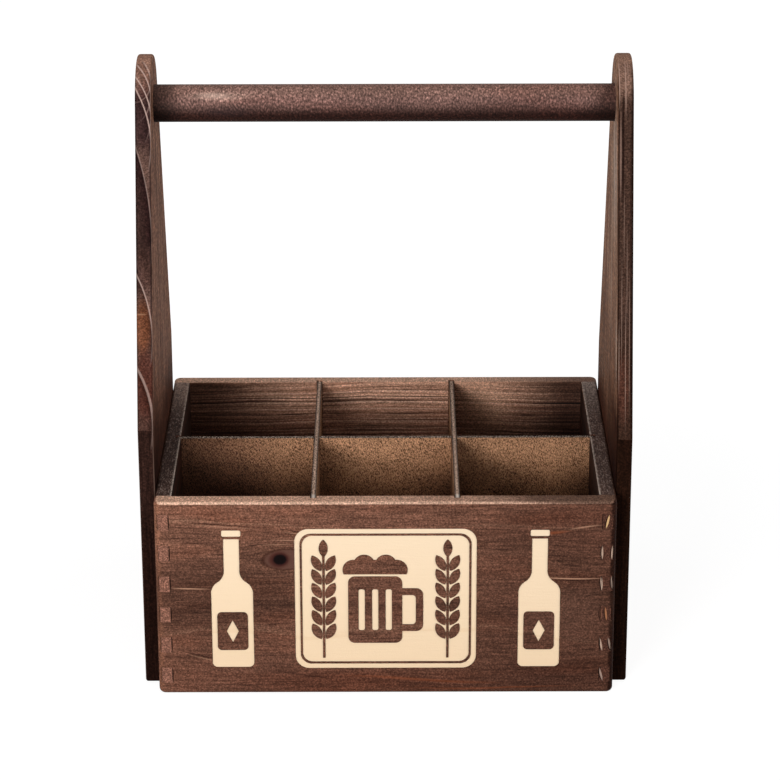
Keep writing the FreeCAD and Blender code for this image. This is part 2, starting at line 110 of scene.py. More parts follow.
class Bench:
    """Node tree of one material or world while it is put together."""

    def __init__(self, owner: bpy.types.Material | bpy.types.World) -> None:
        """Clears the owner's node tree.

        Args:
            owner: the material or world that the tree belongs to.
        """
        owner.use_nodes = True
        self.owner = owner
        self.tree = owner.node_tree
        self.tree.nodes.clear()

    def put(self, kind: str, links: dict[int | str, Value], out: int | str = 0, **settings: object) -> Socket:
        """Adds one node.

        Args:
            kind: the node's type, without the prefix that all of them share, and its operation after a dot.
            links: what each input takes, a socket or a constant, by its index or name.
            out: the output that is wanted.
            settings: the node's own settings.

        Returns:
            The wanted output, or the node's first input where it has no output.
        """
        kind, _, operation = kind.partition(".")
        node = self.tree.nodes.new("ShaderNode" + kind)
        if operation:
            node.operation = operation
        for name, value in settings.items():
            setattr(node, name, value)
        for key, value in links.items():
            if isinstance(value, Socket):
                self.tree.links.new(value, node.inputs[key])
            else:
                node.inputs[key].default_value = value
        return node.outputs[out] if node.outputs else node.inputs[0]

    def flecks(self, place: Socket, size: Triple, detail: float = 2.0) -> Socket:
        """Uneven flecks of a given size.

        Args:
            place: coordinates in millimetres.
            size: length of a fleck along each axis, in millimetres.
            detail: how many finer layers are added.

        Returns:
            A value from about -1 to 1.
        """
        scaled = self.put("VectorMath.MULTIPLY", {0: place, 1: tuple(1 / s for s in size)})
        noise = self.put("TexNoise", {"Vector": scaled, "Scale": 1.0, "Detail": detail, "Roughness": 0.6})
        return self.put("MapRange", {0: noise, 1: NOISE[0], 2: NOISE[1], 3: -1.0}, clamp=False)


class BoardBench(Bench):
    """Bench of a board's finish, which knows where a point lies, in millimetres, and which way it faces."""

    def __init__(self, name: str, cut: Cut) -> None:
        """Starts a material and lays out its coordinates.

        Args:
            name: the material's name.
            cut: how the board is cut.
        """
        super().__init__(bpy.data.materials.new(name))
        texture = self.put("TexCoord", {}).node.outputs
        place = self.put("VectorMath.MULTIPLY", {0: texture["Object"], 1: (1 / MM,) * 3})
        self.normal = texture["Normal"]
        self.axes = self.put("SeparateXYZ", {0: place}).node.outputs[:]
        self.straight, seen = (
            self.put("CombineXYZ", {i: self.axes[axis] for i, axis in enumerate(layout.value)})
            for layout in (cut, Cut.LONG_WALL)
        )
        self.planes = {Plane.GRAIN: self.straight, Plane.FRONT: seen}
        self.front = self.facing(TO_FRONT, *FRONT)

    def facing(self, toward: Triple, begin: float = 0.6, full: float = 0.9) -> Socket:
        """Mask of the faces that are turned towards a direction.

        Args:
            toward: the direction, of any length.
            begin: cosine at which the mask begins.
            full: cosine at which it is full.

        Returns:
            A value from 0 to 1.
        """
        aim = tuple(Vector(toward).normalized())
        cosine = self.put("VectorMath.DOT_PRODUCT", {0: self.normal, 1: aim}, out="Value")
        return self.put("MapRange", {0: cosine, 1: begin, 2: full}, **SMOOTH)

    def finish(
        self, colour: Value, rough: Value, gloss: float, relief: Socket, bump: Pair
    ) -> bpy.types.Material:
        """Ends the material in a matt or satin surface.

        Args:
            colour: its base colour.
            rough: its roughness.
            gloss: its specular level.
            relief: the height of its fine relief.
            bump: the relief's strength, and its depth in millimetres.

        Returns:
            The material.
        """
        strength, depth = bump
        normal = self.put("Bump", {"Strength": strength, "Distance": depth * MM, "Height": relief})
        surface = self.put(
            "BsdfPrincipled",
            {"Base Color": colour, "Roughness": rough, "Normal": normal, "Specular IOR Level": gloss},
        )
        self.put("OutputMaterial", {"Surface": surface})
        return self.owner


@dataclass(frozen=True)
class Patch:
    """Soft-edged patch of another colour on a board: a growth line, worn wood, glue, deeper stain, a painted
    shade or a painted pool of light.

    It lies at a place along and across its plane, reaches half its length and width from there, and is
    turned by some degrees. The core is the share of the reach that has the full colour, and a direction
    keeps the patch to the faces that are turned that way.
    """

    along: float
    across: float
    half_length: float
    half_width: float
    shade: str
    share: float = 0.5
    turn: float = 0.0
    core: float = 0.2
    lay: Lay = Lay.OVER
    plane: Plane = Plane.GRAIN
    toward: Triple | None = None

    def paint(self, bench: BoardBench, under: Socket) -> Socket:
        """Lays the patch on a colour.

        Args:
            bench: the board's bench.
            under: the colour so far.

        Returns:
            The colour with the patch on it.
        """
        local = bench.put(
            "Mapping",
            {
                0: bench.planes[self.plane],
                1: (self.along, self.across, 0.0),
                2: (0.0, 0.0, math.radians(self.turn)),
                3: (self.half_length, self.half_width, 1.0 / MM),
            },
            vector_type="TEXTURE",
        )
        reach = bench.put("VectorMath.LENGTH", {0: local}, out="Value")
        mask = bench.put("MapRange", {0: reach, 1: self.core, 2: 1.0, 3: self.share, 4: 0.0}, **SMOOTH)
        if self.plane is Plane.FRONT:
            mask = bench.put("Math.MULTIPLY", {0: mask, 1: bench.front})
        if self.toward:
            mask = bench.put("Math.MULTIPLY", {0: mask, 1: bench.facing(self.toward)})
        return bench.put("Mix", {0: mask, 6: under, 7: linear(self.shade)}, **self.lay.value)


@dataclass(frozen=True)
class Fade:
    """Stretch along one of the part's axes on which a tint goes from full to nothing."""

    axis: Axis
    full: float
    gone: float


@dataclass(frozen=True)
class FaceTint:
    """Colour that faces turned a certain way take: a sanded rim, a worn arris, a darker edge, painted light
    on faces turned up to the lamps, and painted shade on faces turned away.

    The tint begins and is full at two cosines from its direction, or lies on every face where it has no
    direction, and its fades narrow it further.
    """

    toward: Triple | None
    shade: str
    share: float = 0.5
    begin: float = 0.6
    full: float = 0.9
    fades: tuple[Fade, ...] = ()
    lay: Lay = Lay.OVER

    @classmethod
    def deep(cls, toward: Triple | None, shade: str, *fades: Fade) -> "FaceTint":
        """Tint that is laid into the colour in full.

        Args:
            toward: its direction, if it has one.
            shade: its colour.
            fades: what narrows it.

        Returns:
            The tint.
        """
        return cls(toward, shade, 1.0, fades=fades, lay=Lay.INTO)

    def paint(self, bench: BoardBench, under: Socket) -> Socket:
        """Lays the tint on a colour.

        Args:
            bench: the board's bench.
            under: the colour so far.

        Returns:
            The colour with the tint on it.
        """
        mask: Value = self.share
        if self.toward:
            mask = bench.put("Math.MULTIPLY", {0: bench.facing(self.toward, self.begin, self.full), 1: mask})
        for fade in self.fades:
            place = bench.axes[fade.axis.value]
            left = bench.put("MapRange", {0: place, 1: fade.full, 2: fade.gone, 3: 1.0, 4: 0.0}, **SMOOTH)
            mask = bench.put("Math.MULTIPLY", {0: left, 1: mask})
        return bench.put("Mix", {0: mask, 6: under, 7: linear(self.shade)}, **self.lay.value)


@dataclass(frozen=True)
class GrowthLine:
    """Growth line that runs out at an upright's front edge: a pale arc with deeper stain under it.

    It leaves the inner arris upright at some height, and rises and leans out to the outer arris.
    """

    inner: float
    outer: float
    start: float
    rise: float
    half_width: float
    share: float
    depth: float
    deep: str
    shade: str = "#cfb0a4"
    tail: float = 14.0
    crisp: float = 0.3

    def paint(self, bench: BoardBench, under: Socket) -> Socket:
        """Lays the line on a colour.

        Args:
            bench: the board's bench.
            under: the colour so far.

        Returns:
            The colour with the line on it.
        """
        span = abs(self.outer - self.inner)
        radius = (span**2 + self.rise**2) / (2 * span)
        centre = self.inner + math.copysign(radius, self.outer - self.inner)
        seen = bench.planes[Plane.FRONT]
        offset = bench.put("VectorMath.SUBTRACT", {0: seen, 1: (centre, self.start, 0.0)})
        flat = bench.put("VectorMath.MULTIPLY", {0: offset, 1: (1.0, 1.0, 0.0)})
        reach = bench.put("VectorMath.LENGTH", {0: flat}, out="Value")
        height = bench.axes[Axis.Z.value]
        ends = bench.put("MapRange", {0: height, 1: self.start - self.tail, 2: self.start})
        shown = bench.put("Math.MULTIPLY", {0: ends, 1: bench.front})
        inside = bench.put("MapRange", {0: reach, 1: radius - self.depth, 2: radius})
        within = bench.put("Math.LESS_THAN", {0: reach, 1: radius})
        away = bench.put("Math.SUBTRACT", {0: reach, 1: radius})
        away = bench.put("Math.ABSOLUTE", {0: away})
        limits = {1: self.crisp * self.half_width, 2: self.half_width, 3: self.share, 4: 0.0}
        line = bench.put("MapRange", {0: away, **limits}, **SMOOTH)
        dark: Value = shown
        for limit in (inside, within):
            dark = bench.put("Math.MULTIPLY", {0: dark, 1: limit})
        under = bench.put("Mix", {0: dark, 6: under, 7: linear(self.deep)}, **Lay.INTO.value)
        pale = bench.put("Math.MULTIPLY", {0: line, 1: shown})
        return bench.put("Mix", {0: pale, 6: under, 7: linear(self.shade)}, **Lay.OVER.value)


@dataclass(frozen=True)
class Knot:
    """Branch knot that the grain flows round: its place along and across the board, and its half sizes."""

    along: float
    across: float
    half_length: float = 4.2
    half_width: float = 3.4
    reach_along: float = 40.0
    reach_across: float = 16.0
    push: float = 0.72
    still: float = 0.1
    heart: str = "#0e0707"
    bark: str = "#2a1514"
    halo: str = "#46241e"
    rind: str = "#3a2018"
    pale: str = "#63443a"

    def paint(self, bench: BoardBench, under: Socket) -> Socket:
        """Lays the knot on a colour: a dark-rimmed almond to one side, a halo, a bark ring and a black heart.

        Args:
            bench: the board's bench.
            under: the colour so far.

        Returns:
            The colour with the knot on it.
        """
        for shift, length, width, shade, share, core in (
            (0.85, 3.7, 2.1, self.rind, 0.7, 0.88),
            (1.05, 3.4, 1.85, self.pale, 0.8, 0.85),
            (-0.1, 1.75, 1.8, self.halo, 0.9, 0.6),
            (0.0, 1.3, 1.35, self.bark, 0.9, 0.6),
            (0.0, 1.0, 1.0, self.heart, 1.0, 0.72),
        ):
            along = self.along + shift * self.half_length
            sizes = (length * self.half_length, width * self.half_width)
            under = Patch(along, self.across, *sizes, shade, share, core=core).paint(bench, under)
        return under


@dataclass(frozen=True)
class Engraving:
    """Sunk places that the stain didn't reach: bare pine floors inside scorched walls."""

    face: float
    depth: float = 0.5
    half_span: float = 112.0
    rim_margin: float = 4.0
    floor_facing: Pair = (0.96, 0.98)
    wall_facing: Pair = (0.4, 0.2)
    fibre_share: float = 0.1
    line_share: float = 0.45
    bare: str = "#fbe3c4"
    bare_low: str = "#f4d7b3"
    bare_line: str = "#e8c59c"
    scorched: str = "#3b2317"


@dataclass(frozen=True)
class StainedPine:
    """Pine board, planed, sanded and wiped with a dark walnut stain.

    The soft early wood drinks the stain and goes dark, and the hard late wood stays pale, so the growth
    lines show as thin light lines. Sanding leaves a fine speckle, whose contrast is the ratio of a light
    speck to the plain stain, and the stain lies in soft blotches. On a face that was sanded across the
    grain, the speckle and the fibres are drawn out that way. Salt is the colour of bare specks on a rim
    where the stain has rubbed off. Specks and fibres are drawn as coarse as they need to show. The rings
    get wider and narrower with a beat, and a growth line is faint where the fibres break it.
    """

    name: str
    cut: Cut
    heart: Triple
    ring_gap: float = 2.6
    ring_lean: float = 0.02
    ring_beat: float = 0.45
    ring_uneven: float = 1.8
    line_share: float = 0.5
    line_rarity: float = 0.5
    line_part: float = 0.35
    line_end: float = 0.95
    line_break: Pair = (-1.2, 0.8)
    line_least: float = 0.35
    early_part: float = 0.55
    drink: float = 0.4
    wander: float = 4.0
    ripple: float = 0.12
    dark: str = "#3a251d"
    light: str = "#9a6a50"
    line: str = "#b98e74"
    red: str = "#7d4630"
    red_share: float = 0.25
    blotch: float = 0.08
    blotch_size: Triple = (75.0, 26.0, 26.0)
    red_size: Triple = (60.0, 12.0, 12.0)
    fibre: float = 0.28
    fibre_size: Triple = (24.0, 1.1, 1.1)
    speckle: float = 2.0
    speckle_size: Triple = (0.9, 0.8, 1.6)
    salt: str | None = None
    salt_share: float = 0.6
    salt_range: Pair = (0.2, 0.8)
    grit_rough: float = 0.06
    grit_relief: float = 0.6
    cross_sanded: Triple | None = None
    draw: float = 5.0
    tone: float = 0.5
    roughness: float = 0.68
    gloss: float = 0.1
    bump: Pair = (0.35, 0.12)
    knots: tuple[Knot, ...] = ()
    patches: tuple[Patch | GrowthLine, ...] = ()
    tints: tuple[FaceTint | Patch, ...] = ()
    engraving: Engraving | None = None

    def make(self) -> bpy.types.Material:
        """Makes the board's material.

        Returns:
            The material.
        """
        bench = BoardBench(self.name, self.cut)
        bench.planes[Plane.GRAIN] = self.drift(bench)
        flow = self.part_round_knots(bench)
        line, drink = self.rings(bench, flow)
        fibre = bench.flecks(self.sand(bench, flow), self.fibre_size)
        colour = self.stain(bench, flow, line, drink, fibre)
        for tint in self.tints:
            colour = tint.paint(bench, colour)
        speckle = bench.flecks(self.sand(bench, bench.straight), self.speckle_size, 1.0)
        grit = bench.put("Math.POWER", {0: self.speckle, 1: speckle})
        colour = bench.put("Mix", {0: 1.0, 6: colour, 7: grit}, **Lay.INTO.value)
        if self.salt:
            few, most = self.salt_range
            specks = bench.put("MapRange", {0: speckle, 1: few, 2: most, 4: self.salt_share})
            shown = bench.put("Math.MULTIPLY", {0: specks, 1: bench.facing(UP, *RIM)})
            colour = bench.put("Mix", {0: shown, 6: colour, 7: linear(self.salt)}, **Lay.OVER.value)
        for layer in (*self.patches, *self.knots):
            colour = layer.paint(bench, colour)
        if self.engraving:
            colour = self.engrave(bench, line, fibre, colour)
        rough = bench.put("Math.MULTIPLY_ADD", {0: speckle, 1: self.grit_rough, 2: self.roughness})
        relief = bench.put("Math.MULTIPLY_ADD", {0: speckle, 1: self.grit_relief, 2: fibre})
        return bench.finish(colour, rough, self.gloss, relief, self.bump)

    def sand(self, bench: BoardBench, place: Socket) -> Socket:
        """Coordinates that are drawn out across the grain on the face that was sanded that way.

        Args:
            bench: the board's bench.
            place: board coordinates.

        Returns:
            The coordinates for speckle and fibres.
        """
        if not self.cross_sanded:
            return place
        facing = bench.facing(self.cross_sanded)
        narrow = bench.put("MapRange", {0: facing, 3: 1.0, 4: 1 / self.draw})
        scale = bench.put("CombineXYZ", {0: 1.0, 1: narrow, 2: 1.0})
        return bench.put("VectorMath.MULTIPLY", {0: place, 1: scale})

    def drift(self, bench: BoardBench) -> Socket:
        """Board coordinates that wander and ripple as the grain does.

        Args:
            bench: the board's bench.

        Returns:
            The wandering coordinates.
        """
        drift = bench.straight
        waves = ((120.0, 34.0, self.wander), (22.0, 7.0, self.ripple * self.wander))
        for length, width, amount in waves:
            size = (1 / length, 1 / width, 1 / width)
            scaled = bench.put("VectorMath.MULTIPLY", {0: bench.straight, 1: size})
            noise = bench.put("TexNoise", {"Vector": scaled, "Scale": 1.0, "Detail": 1.0}, out="Color")
            spread = {1: (0.0, 2 * amount, 2 * amount), 2: (0.0, -amount, -amount)}
            shift = bench.put("VectorMath.MULTIPLY_ADD", {0: noise, **spread})
            drift = bench.put("VectorMath.ADD", {0: drift, 1: shift})
        return drift

    def part_round_knots(self, bench: BoardBench) -> Socket:
        """Coordinates of the grain, which parts round each knot.

        Args:
            bench: the board's bench.

        Returns:
            The coordinates that the grain follows.
        """
        flow = bench.planes[Plane.GRAIN]
        for knot in self.knots:
            centre = (knot.along, knot.across, 0.0)
            local = bench.put(
                "Mapping",
                {0: flow, 1: centre, 3: (knot.reach_along, knot.reach_across, 1.0 / MM)},
                vector_type="TEXTURE",
            )
            reach = bench.put("VectorMath.LENGTH", {0: local}, out="Value")
            pull = bench.put("MapRange", {0: reach, 1: knot.still, 3: -knot.push, 4: 0.0}, **SMOOTH)
            offset = bench.put("VectorMath.SUBTRACT", {0: flow, 1: centre})
            sideways = bench.put("VectorMath.MULTIPLY", {0: offset, 1: (0.0, 1.0, 0.0)})
            shift = bench.put("VectorMath.SCALE", {0: sideways, "Scale": pull})
            flow = bench.put("VectorMath.ADD", {0: flow, 1: shift})
        return flow

    def rings(self, bench: BoardBench, flow: Socket) -> tuple[Socket, Socket]:
        """Growth rings about the tree's heart.

        Args:
            bench: the board's bench.
            flow: board coordinates that follow the grain.

        Returns:
            Masks of the pale late-wood lines and of the thirsty early wood beside them.
        """
        offset = bench.put("VectorMath.SUBTRACT", {0: flow, 1: self.heart})
        scaled = bench.put("VectorMath.MULTIPLY", {0: offset, 1: (self.ring_lean, 1.0, 1.0)})
        radius = bench.put("VectorMath.LENGTH", {0: scaled}, out="Value")
        count = bench.put("Math.MULTIPLY", {0: radius, 1: 1 / self.ring_gap})
        beat = {"W": count, "Scale": self.ring_beat, "Detail": 1.0}
        uneven = bench.put("TexNoise", beat, noise_dimensions="1D")
        ring = bench.put("Math.MULTIPLY_ADD", {0: uneven, 1: self.ring_uneven, 2: count})
        phase = bench.put("Math.FRACT", {0: ring})
        number = bench.put("Math.FLOOR", {0: ring})
        vigour = bench.put("TexWhiteNoise", {"W": number}, noise_dimensions="1D")
        strength = bench.put("MapRange", {0: vigour, 1: self.line_rarity, 2: 1.0})
        start = 1 - self.line_part
        rise = bench.put("MapRange", {0: phase, 1: start, 2: self.line_end}, **SMOOTH)
        fall = bench.put("MapRange", {0: phase, 1: self.line_end, 2: 1.0, 3: 1.0, 4: 0.0})
        late = bench.put("Math.MULTIPLY", {0: rise, 1: fall})
        line = bench.put("Math.MULTIPLY", {0: late, 1: strength})
        early = bench.put("MapRange", {0: phase, 2: self.early_part, 3: 1.0, 4: 0.0})
        return line, bench.put("Math.MULTIPLY", {0: early, 1: strength})

    def stain(
        self, bench: BoardBench, flow: Socket, line: Socket, drink: Socket, fibre: Socket
    ) -> Socket:
        """Colour of the stained wood before its tints, patches and knots.

        Args:
            bench: the board's bench.
            flow: board coordinates that follow the grain.
            line: mask of the pale growth lines.
            drink: mask of the early wood that drinks the stain.
            fibre: fine streaks along the grain.

        Returns:
            The colour.
        """
        over = Lay.OVER.value
        cloud = bench.flecks(flow, self.blotch_size)
        thin, whole = self.line_break
        broken = bench.put("MapRange", {0: fibre, 1: thin, 2: whole, 3: self.line_least})
        tone: Value = self.tone
        for field, amount in ((cloud, self.blotch), (fibre, self.fibre), (drink, -self.drink)):
            tone = bench.put("Math.MULTIPLY_ADD", {0: field, 1: amount, 2: tone})
        tone = bench.put("MapRange", {0: tone})
        colour = bench.put("Mix", {0: tone, 6: linear(self.dark), 7: linear(self.light)}, **over)
        warm = bench.flecks(flow, self.red_size, 1.0)
        warm = bench.put("MapRange", {0: warm, 4: self.red_share})
        colour = bench.put("Mix", {0: warm, 6: colour, 7: linear(self.red)}, **over)
        shown = bench.put("Math.MULTIPLY", {0: line, 1: broken})
        shown = bench.put("Math.MULTIPLY", {0: shown, 1: self.line_share})
        return bench.put("Mix", {0: shown, 6: colour, 7: linear(self.line)}, **over)

    def engrave(self, bench: BoardBench, line: Socket, fibre: Socket, under: Socket) -> Socket:
        """Bare pine on the sunk floors of the engraving, and scorched wood on its walls.

        Args:
            bench: the board's bench.
            line: mask of the growth lines.
            fibre: fine streaks along the grain.
            under: the stained colour.

        Returns:
            The colour with the engraving in it.
        """
        over = Lay.OVER.value
        cut = self.engraving
        x, y, z = bench.axes
        sunk = bench.put("Math.GREATER_THAN", {0: y, 1: cut.face + cut.depth / 2})
        floor = bench.put("Math.MULTIPLY", {0: sunk, 1: bench.facing(TO_FRONT, *cut.floor_facing)})
        low, high = box_mm("front_panel")
        drop = bench.put("MapRange", {0: z, 1: low.z, 2: high.z, 3: 1.0, 4: 0.0})
        bare = bench.put("Mix", {0: drop, 6: linear(cut.bare), 7: linear(cut.bare_low)}, **over)
        faint = bench.put("Math.MULTIPLY_ADD", {0: fibre, 1: cut.fibre_share, 2: line})
        faint = bench.put("MapRange", {0: faint, 4: cut.line_share})
        bare = bench.put("Mix", {0: faint, 6: bare, 7: linear(cut.bare_line)}, **over)
        colour = bench.put("Mix", {0: floor, 6: under, 7: bare}, **over)
        across = bench.put("Math.ABSOLUTE", {0: x})
        wall = bench.facing(TO_FRONT, *cut.wall_facing)
        for place, limit in (
            (y, cut.face + 2 * cut.depth),
            (across, cut.half_span),
            (z, high.z - cut.rim_margin),
        ):
            within = bench.put("Math.LESS_THAN", {0: place, 1: limit})
            wall = bench.put("Math.MULTIPLY", {0: wall, 1: within})
        return bench.put("Mix", {0: wall, 6: colour, 7: linear(cut.scorched)}, **over)


@dataclass(frozen=True)
class Hardboard:
    """Brown fibreboard, pressed from short wood fibres and left matt.

    Pale golden fibres lie criss-cross on a dark ground, like short fur, and the sawn edges are grey and
    peppered. The real fibres are finer than a pixel, so they are drawn as coarse as they need to show.
    """

    name: str
    cut: Cut
    ground: str = "#3f281c"
    fibre: str = "#d8a27a"
    edge_dark: str = "#1d1310"
    edge_pale: str = "#c0a08a"
    edge_bare: Pair = (-0.1, 0.7)
    turns: tuple[float, ...] = (62.0, 95.0, 121.0)
    fibre_length: float = 1.25
    fibre_width: float = 0.38
    contrast: float = 0.28
    cloud: float = 0.12
    cloud_size: Triple = (30.0, 24.0, 24.0)
    pepper: float = 0.1
    pepper_size: Triple = (0.9, 0.9, 0.9)
    roughness: float = 0.85
    gloss: float = 0.12
    bump: Pair = (0.6, 0.25)
    tints: tuple[FaceTint, ...] = ()

    def make(self) -> bpy.types.Material:
        """Makes the board's material.

        Returns:
            The material.
        """
        over = Lay.OVER.value
        bench = BoardBench(self.name, self.cut)
        fur: Value = 0.0
        for turn in self.turns:
            turned = bench.put(
                "Mapping",
                {0: bench.straight, 1: (turn, 0.0, turn), 2: (0.0, 0.0, math.radians(turn))},
                vector_type="TEXTURE",
            )
            layer = bench.flecks(turned, (self.fibre_length, self.fibre_width, self.fibre_width), 1.5)
            fur = bench.put("Math.MULTIPLY_ADD", {0: layer, 1: 1 / len(self.turns), 2: fur})
        cloud = bench.flecks(bench.straight, self.cloud_size)
        pepper = bench.flecks(bench.straight, self.pepper_size, 1.0)
        tone = bench.put("Math.MULTIPLY_ADD", {0: cloud, 1: self.cloud, 2: fur})
        tone = bench.put("Math.MULTIPLY_ADD", {0: pepper, 1: self.pepper, 2: tone})
        tone = bench.put("MapRange", {0: tone, 1: -self.contrast, 2: self.contrast})
        colour = bench.put("Mix", {0: tone, 6: linear(self.ground), 7: linear(self.fibre)}, **over)
        if self.cut is not Cut.FLOOR:
            begin, full = self.edge_bare
            dots = bench.put("MapRange", {0: pepper, 1: begin, 2: full})
            edge = bench.put("Mix", {0: dots, 6: linear(self.edge_dark), 7: linear(self.edge_pale)}, **over)
            colour = bench.put("Mix", {0: bench.facing(UP), 6: colour, 7: edge}, **over)
        for tint in self.tints:
            colour = tint.paint(bench, colour)
        return bench.finish(colour, self.roughness, self.gloss, tone, self.bump)


@dataclass(frozen=True)
class PlatedSteel:
    """Steel screws and brads, zinc plated and passivated yellow: a soft metal gloss with cloudy hues."""

    name: str
    gold: str = "#c9ad72"
    grey: str = "#a9a59a"
    cloud_size: Triple = (2.5, 2.5, 2.5)
    roughness: float = 0.34
    unevenness: float = 0.08

    def make(self) -> bpy.types.Material:
        """Makes the fasteners' material.

        Returns:
            The material.
        """
        bench = Bench(bpy.data.materials.new(self.name))
        place = bench.put("TexCoord", {}, out="Object")
        place = bench.put("VectorMath.MULTIPLY", {0: place, 1: (1 / MM,) * 3})
        cloud = bench.flecks(place, self.cloud_size, 3.0)
        share = bench.put("MapRange", {0: cloud, 1: -1.0, 2: 1.0})
        hues = {6: linear(self.gold), 7: linear(self.grey)}
        colour = bench.put("Mix", {0: share, **hues}, **Lay.OVER.value)
        rough = bench.put("Math.MULTIPLY_ADD", {0: cloud, 1: self.unevenness, 2: self.roughness})
        surface = bench.put("BsdfPrincipled", {"Base Color": colour, "Metallic": 1.0, "Roughness": rough})
        bench.put("OutputMaterial", {"Surface": surface})
        return bench.owner


def dress_node(node: str, material: bpy.types.Material) -> None:
    """Gives a CAD node its finish.

    Args:
        node: the node's name.
        material: what it gets.
    """
    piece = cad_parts[node]
    if not piece.material_slots:
        piece.data.materials.append(material)
    for slot in piece.material_slots:
        slot.material = material
    LOG.info("%s: %s", node, material.name)


